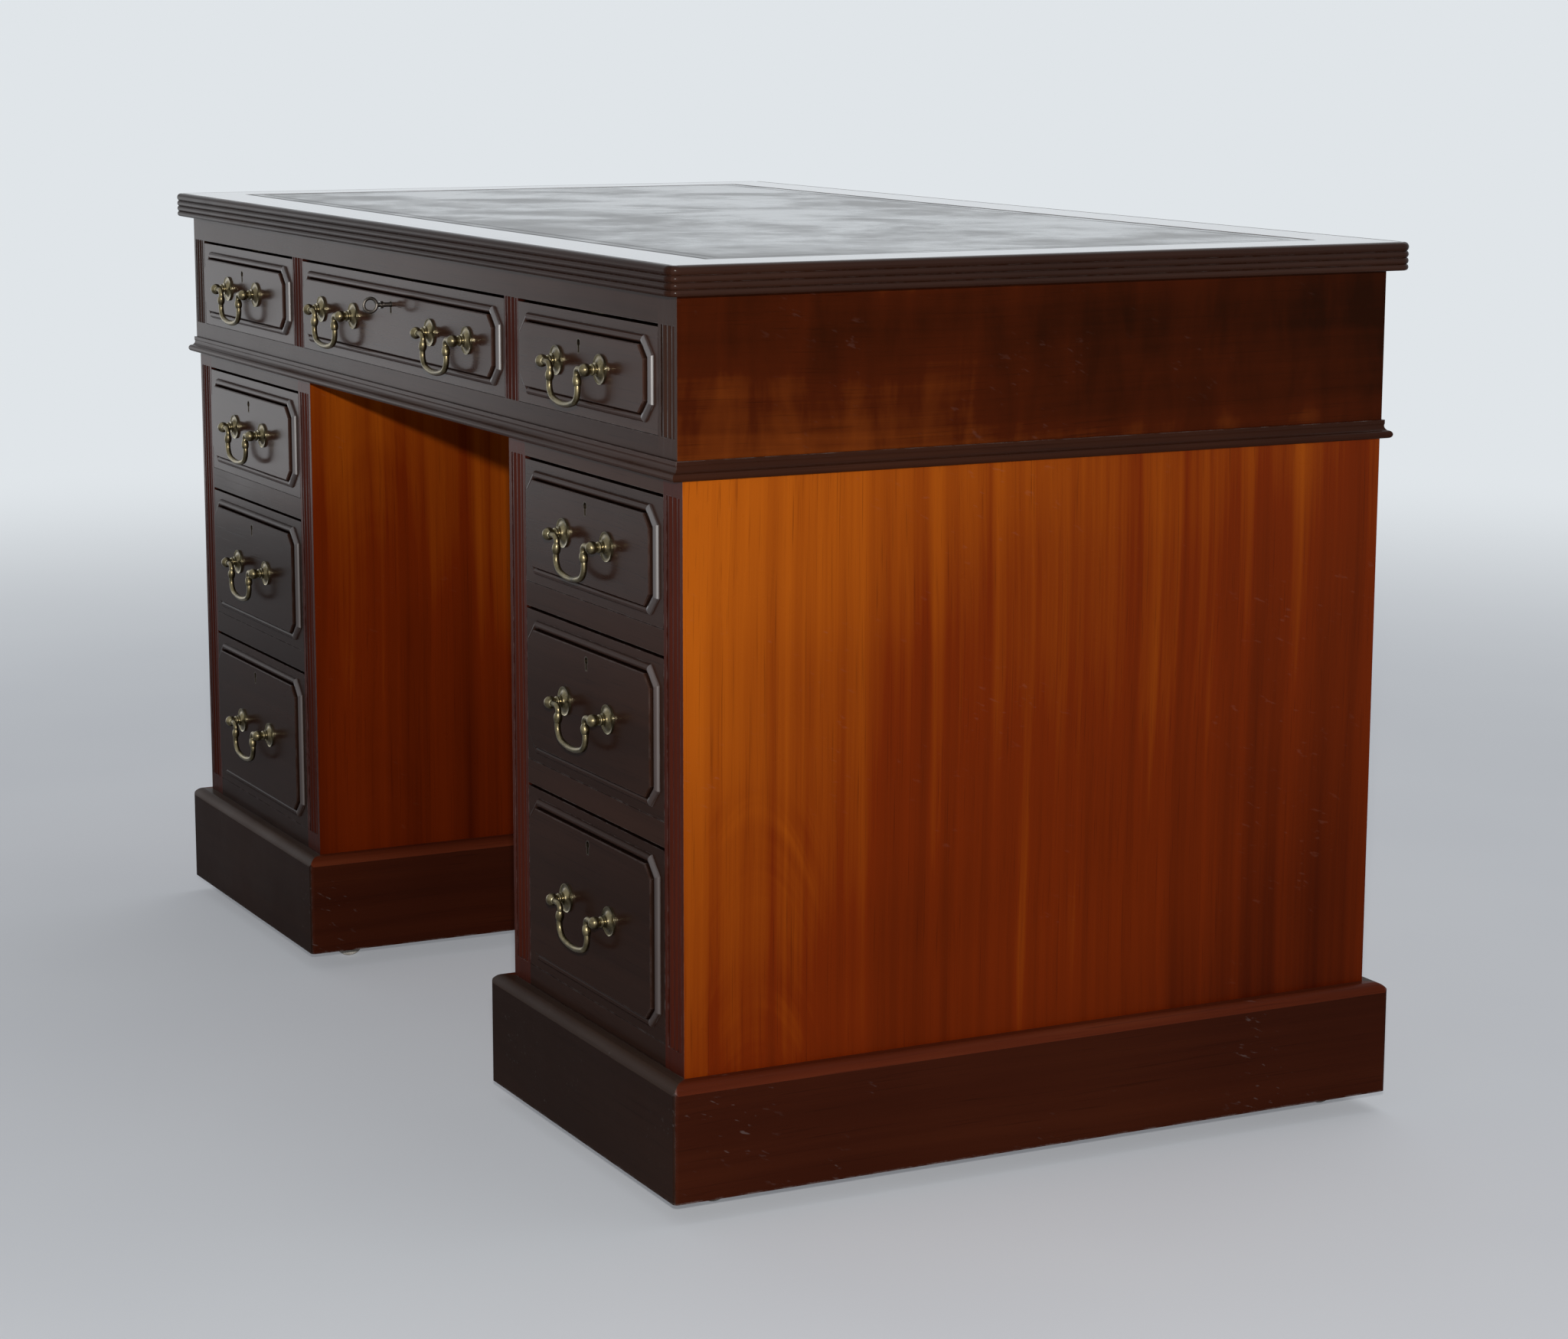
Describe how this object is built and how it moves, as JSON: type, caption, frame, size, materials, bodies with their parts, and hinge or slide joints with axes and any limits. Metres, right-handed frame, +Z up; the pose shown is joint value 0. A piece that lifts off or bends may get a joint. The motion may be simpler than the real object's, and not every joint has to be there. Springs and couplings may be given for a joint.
{
  "type": "pedestal desk",
  "caption": "Twin-pedestal writing desk with leather top, reeded edge and stiles, canted-panel drawers on one side, swan-neck brass handles, moulded plinths and hidden castors.",
  "frame": {"origin": "on the floor, midway between the front of the key and the back edge of the top, on the desk's middle line", "axes": "+X to the right of a person facing the drawers, +Y from the drawer side to the back, +Z up"},
  "size_m": [1.27, 0.7294, 0.78],
  "materials": {
    "mahogany": "French-polished mahogany, dark on the front and redder on the ends",
    "pine": "unpolished secondary wood",
    "leather": "worn dark skiver with a tooled line",
    "brass": "aged brass with dark patina",
    "ceramic": "glazed white ceramic",
    "iron": "dark steel"
  },
  "bodies": {
    "desk": {"desk_top": "mahogany", "writing_leather": "leather", "frieze_case": "mahogany", "frieze_front_frame": "mahogany", "frieze_partitions": "pine", "waist_moulding": "mahogany", "left_pedestal_case": "mahogany", "left_pedestal_front_frame": "mahogany", "left_plinth": "mahogany", "right_pedestal_case": "mahogany", "right_pedestal_front_frame": "mahogany", "right_plinth": "mahogany", "castor_plates": "iron"},
    "left_front_outer_castor_horn": {"left_front_outer_castor_horn": "brass"},
    "left_front_outer_castor_wheel": {"left_front_outer_castor_wheel": "ceramic"},
    "left_front_inner_castor_horn": {"left_front_inner_castor_horn": "brass"},
    "left_front_inner_castor_wheel": {"left_front_inner_castor_wheel": "ceramic"},
    "left_back_outer_castor_horn": {"left_back_outer_castor_horn": "brass"},
    "left_back_outer_castor_wheel": {"left_back_outer_castor_wheel": "ceramic"},
    "left_back_inner_castor_horn": {"left_back_inner_castor_horn": "brass"},
    "left_back_inner_castor_wheel": {"left_back_inner_castor_wheel": "ceramic"},
    "right_front_outer_castor_horn": {"right_front_outer_castor_horn": "brass"},
    "right_front_outer_castor_wheel": {"right_front_outer_castor_wheel": "ceramic"},
    "right_front_inner_castor_horn": {"right_front_inner_castor_horn": "brass"},
    "right_front_inner_castor_wheel": {"right_front_inner_castor_wheel": "ceramic"},
    "right_back_outer_castor_horn": {"right_back_outer_castor_horn": "brass"},
    "right_back_outer_castor_wheel": {"right_back_outer_castor_wheel": "ceramic"},
    "right_back_inner_castor_horn": {"right_back_inner_castor_horn": "brass"},
    "right_back_inner_castor_wheel": {"right_back_inner_castor_wheel": "ceramic"},
    "frieze_left_drawer": {"frieze_left_drawer": "mahogany", "frieze_left_drawer_brass": "brass"},
    "frieze_left_drawer_handle": {"frieze_left_drawer_handle": "brass"},
    "frieze_centre_drawer": {"frieze_centre_drawer": "mahogany", "frieze_centre_drawer_brass": "brass"},
    "frieze_centre_drawer_left_handle": {"frieze_centre_drawer_left_handle": "brass"},
    "frieze_centre_drawer_right_handle": {"frieze_centre_drawer_right_handle": "brass"},
    "centre_lock_bolt": {"centre_lock_bolt": "brass"},
    "centre_drawer_key": {"centre_drawer_key": "iron"},
    "frieze_right_drawer": {"frieze_right_drawer": "mahogany", "frieze_right_drawer_brass": "brass"},
    "frieze_right_drawer_handle": {"frieze_right_drawer_handle": "brass"},
    "left_upper_drawer": {"left_upper_drawer": "mahogany", "left_upper_drawer_brass": "brass"},
    "left_upper_drawer_handle": {"left_upper_drawer_handle": "brass"},
    "left_middle_drawer": {"left_middle_drawer": "mahogany", "left_middle_drawer_brass": "brass"},
    "left_middle_drawer_handle": {"left_middle_drawer_handle": "brass"},
    "left_lower_drawer": {"left_lower_drawer": "mahogany", "left_lower_drawer_brass": "brass"},
    "left_lower_drawer_handle": {"left_lower_drawer_handle": "brass"},
    "right_upper_drawer": {"right_upper_drawer": "mahogany", "right_upper_drawer_brass": "brass"},
    "right_upper_drawer_handle": {"right_upper_drawer_handle": "brass"},
    "right_middle_drawer": {"right_middle_drawer": "mahogany", "right_middle_drawer_brass": "brass"},
    "right_middle_drawer_handle": {"right_middle_drawer_handle": "brass"},
    "right_lower_drawer": {"right_lower_drawer": "mahogany", "right_lower_drawer_brass": "brass"},
    "right_lower_drawer_handle": {"right_lower_drawer_handle": "brass"}
  },
  "joints": [
    {"name": "left_front_outer_castor_swivel", "type": "hinge", "parent": "desk", "child": "left_front_outer_castor_horn", "pos_m": [-0.587, -0.2953, 0.038], "axis": [0, 0, 1], "continuous": true},
    {"name": "left_front_outer_castor_roll", "type": "hinge", "parent": "left_front_outer_castor_horn", "child": "left_front_outer_castor_wheel", "pos_m": [-0.587, -0.2863, 0.015], "axis": [1, 0, 0], "continuous": true},
    {"name": "left_front_inner_castor_swivel", "type": "hinge", "parent": "desk", "child": "left_front_inner_castor_horn", "pos_m": [-0.292, -0.2953, 0.038], "axis": [0, 0, 1], "continuous": true},
    {"name": "left_front_inner_castor_roll", "type": "hinge", "parent": "left_front_inner_castor_horn", "child": "left_front_inner_castor_wheel", "pos_m": [-0.292, -0.2863, 0.015], "axis": [1, 0, 0], "continuous": true},
    {"name": "left_back_outer_castor_swivel", "type": "hinge", "parent": "desk", "child": "left_back_outer_castor_horn", "pos_m": [-0.587, 0.3167, 0.038], "axis": [0, 0, 1], "continuous": true},
    {"name": "left_back_outer_castor_roll", "type": "hinge", "parent": "left_back_outer_castor_horn", "child": "left_back_outer_castor_wheel", "pos_m": [-0.587, 0.3257, 0.015], "axis": [1, 0, 0], "continuous": true},
    {"name": "left_back_inner_castor_swivel", "type": "hinge", "parent": "desk", "child": "left_back_inner_castor_horn", "pos_m": [-0.292, 0.3167, 0.038], "axis": [0, 0, 1], "continuous": true},
    {"name": "left_back_inner_castor_roll", "type": "hinge", "parent": "left_back_inner_castor_horn", "child": "left_back_inner_castor_wheel", "pos_m": [-0.292, 0.3257, 0.015], "axis": [1, 0, 0], "continuous": true},
    {"name": "right_front_outer_castor_swivel", "type": "hinge", "parent": "desk", "child": "right_front_outer_castor_horn", "pos_m": [0.587, -0.2953, 0.038], "axis": [0, 0, 1], "continuous": true},
    {"name": "right_front_outer_castor_roll", "type": "hinge", "parent": "right_front_outer_castor_horn", "child": "right_front_outer_castor_wheel", "pos_m": [0.587, -0.2863, 0.015], "axis": [1, 0, 0], "continuous": true},
    {"name": "right_front_inner_castor_swivel", "type": "hinge", "parent": "desk", "child": "right_front_inner_castor_horn", "pos_m": [0.292, -0.2953, 0.038], "axis": [0, 0, 1], "continuous": true},
    {"name": "right_front_inner_castor_roll", "type": "hinge", "parent": "right_front_inner_castor_horn", "child": "right_front_inner_castor_wheel", "pos_m": [0.292, -0.2863, 0.015], "axis": [1, 0, 0], "continuous": true},
    {"name": "right_back_outer_castor_swivel", "type": "hinge", "parent": "desk", "child": "right_back_outer_castor_horn", "pos_m": [0.587, 0.3167, 0.038], "axis": [0, 0, 1], "continuous": true},
    {"name": "right_back_outer_castor_roll", "type": "hinge", "parent": "right_back_outer_castor_horn", "child": "right_back_outer_castor_wheel", "pos_m": [0.587, 0.3257, 0.015], "axis": [1, 0, 0], "continuous": true},
    {"name": "right_back_inner_castor_swivel", "type": "hinge", "parent": "desk", "child": "right_back_inner_castor_horn", "pos_m": [0.292, 0.3167, 0.038], "axis": [0, 0, 1], "continuous": true},
    {"name": "right_back_inner_castor_roll", "type": "hinge", "parent": "right_back_inner_castor_horn", "child": "right_back_inner_castor_wheel", "pos_m": [0.292, 0.3257, 0.015], "axis": [1, 0, 0], "continuous": true},
    {"name": "frieze_left_drawer_slide", "type": "slide", "parent": "desk", "child": "frieze_left_drawer", "axis": [0, -1, 0], "range_m": [0, 0.42]},
    {"name": "frieze_left_drawer_handle_swing", "type": "hinge", "parent": "frieze_left_drawer", "child": "frieze_left_drawer_handle", "pos_m": [-0.438, -0.3503, 0.68625], "axis": [-1, 0, 0], "range_deg": [-15, 150]},
    {"name": "frieze_centre_drawer_slide", "type": "slide", "parent": "desk", "child": "frieze_centre_drawer", "axis": [0, -1, 0], "range_m": [0, 0.42]},
    {"name": "frieze_centre_drawer_left_handle_swing", "type": "hinge", "parent": "frieze_centre_drawer", "child": "frieze_centre_drawer_left_handle", "pos_m": [-0.146, -0.3503, 0.68625], "axis": [-1, 0, 0], "range_deg": [-15, 150]},
    {"name": "frieze_centre_drawer_right_handle_swing", "type": "hinge", "parent": "frieze_centre_drawer", "child": "frieze_centre_drawer_right_handle", "pos_m": [0.146, -0.3503, 0.68625], "axis": [-1, 0, 0], "range_deg": [-15, 150]},
    {"name": "centre_key_turn", "type": "hinge", "parent": "frieze_centre_drawer", "child": "centre_drawer_key", "pos_m": [0, -0.3233, 0.7044], "axis": [0, 1, 0], "range_deg": [0, 90]},
    {"name": "centre_bolt_lift", "type": "slide", "parent": "frieze_centre_drawer", "child": "centre_lock_bolt", "axis": [0, 0, 1], "range_m": [0, 0.007]},
    {"name": "frieze_right_drawer_slide", "type": "slide", "parent": "desk", "child": "frieze_right_drawer", "axis": [0, -1, 0], "range_m": [0, 0.42]},
    {"name": "frieze_right_drawer_handle_swing", "type": "hinge", "parent": "frieze_right_drawer", "child": "frieze_right_drawer_handle", "pos_m": [0.438, -0.3503, 0.68625], "axis": [-1, 0, 0], "range_deg": [-15, 150]},
    {"name": "left_upper_drawer_slide", "type": "slide", "parent": "desk", "child": "left_upper_drawer", "axis": [0, -1, 0], "range_m": [0, 0.42]},
    {"name": "left_upper_drawer_handle_swing", "type": "hinge", "parent": "left_upper_drawer", "child": "left_upper_drawer_handle", "pos_m": [-0.4395, -0.3463, 0.5395], "axis": [-1, 0, 0], "range_deg": [-15, 150]},
    {"name": "left_middle_drawer_slide", "type": "slide", "parent": "desk", "child": "left_middle_drawer", "axis": [0, -1, 0], "range_m": [0, 0.42]},
    {"name": "left_middle_drawer_handle_swing", "type": "hinge", "parent": "left_middle_drawer", "child": "left_middle_drawer_handle", "pos_m": [-0.4395, -0.3463, 0.39425], "axis": [-1, 0, 0], "range_deg": [-15, 150]},
    {"name": "left_lower_drawer_slide", "type": "slide", "parent": "desk", "child": "left_lower_drawer", "axis": [0, -1, 0], "range_m": [0, 0.42]},
    {"name": "left_lower_drawer_handle_swing", "type": "hinge", "parent": "left_lower_drawer", "child": "left_lower_drawer_handle", "pos_m": [-0.4395, -0.3463, 0.221], "axis": [-1, 0, 0], "range_deg": [-15, 150]},
    {"name": "right_upper_drawer_slide", "type": "slide", "parent": "desk", "child": "right_upper_drawer", "axis": [0, -1, 0], "range_m": [0, 0.42]},
    {"name": "right_upper_drawer_handle_swing", "type": "hinge", "parent": "right_upper_drawer", "child": "right_upper_drawer_handle", "pos_m": [0.4395, -0.3463, 0.5395], "axis": [-1, 0, 0], "range_deg": [-15, 150]},
    {"name": "right_middle_drawer_slide", "type": "slide", "parent": "desk", "child": "right_middle_drawer", "axis": [0, -1, 0], "range_m": [0, 0.42]},
    {"name": "right_middle_drawer_handle_swing", "type": "hinge", "parent": "right_middle_drawer", "child": "right_middle_drawer_handle", "pos_m": [0.4395, -0.3463, 0.39425], "axis": [-1, 0, 0], "range_deg": [-15, 150]},
    {"name": "right_lower_drawer_slide", "type": "slide", "parent": "desk", "child": "right_lower_drawer", "axis": [0, -1, 0], "range_m": [0, 0.42]},
    {"name": "right_lower_drawer_handle_swing", "type": "hinge", "parent": "right_lower_drawer", "child": "right_lower_drawer_handle", "pos_m": [0.4395, -0.3463, 0.221], "axis": [-1, 0, 0], "range_deg": [-15, 150]}
  ],
  "couplings": [
    {"joint": "centre_key_turn", "follows": "centre_bolt_lift", "rad_per_m": 224.38}
  ]
}
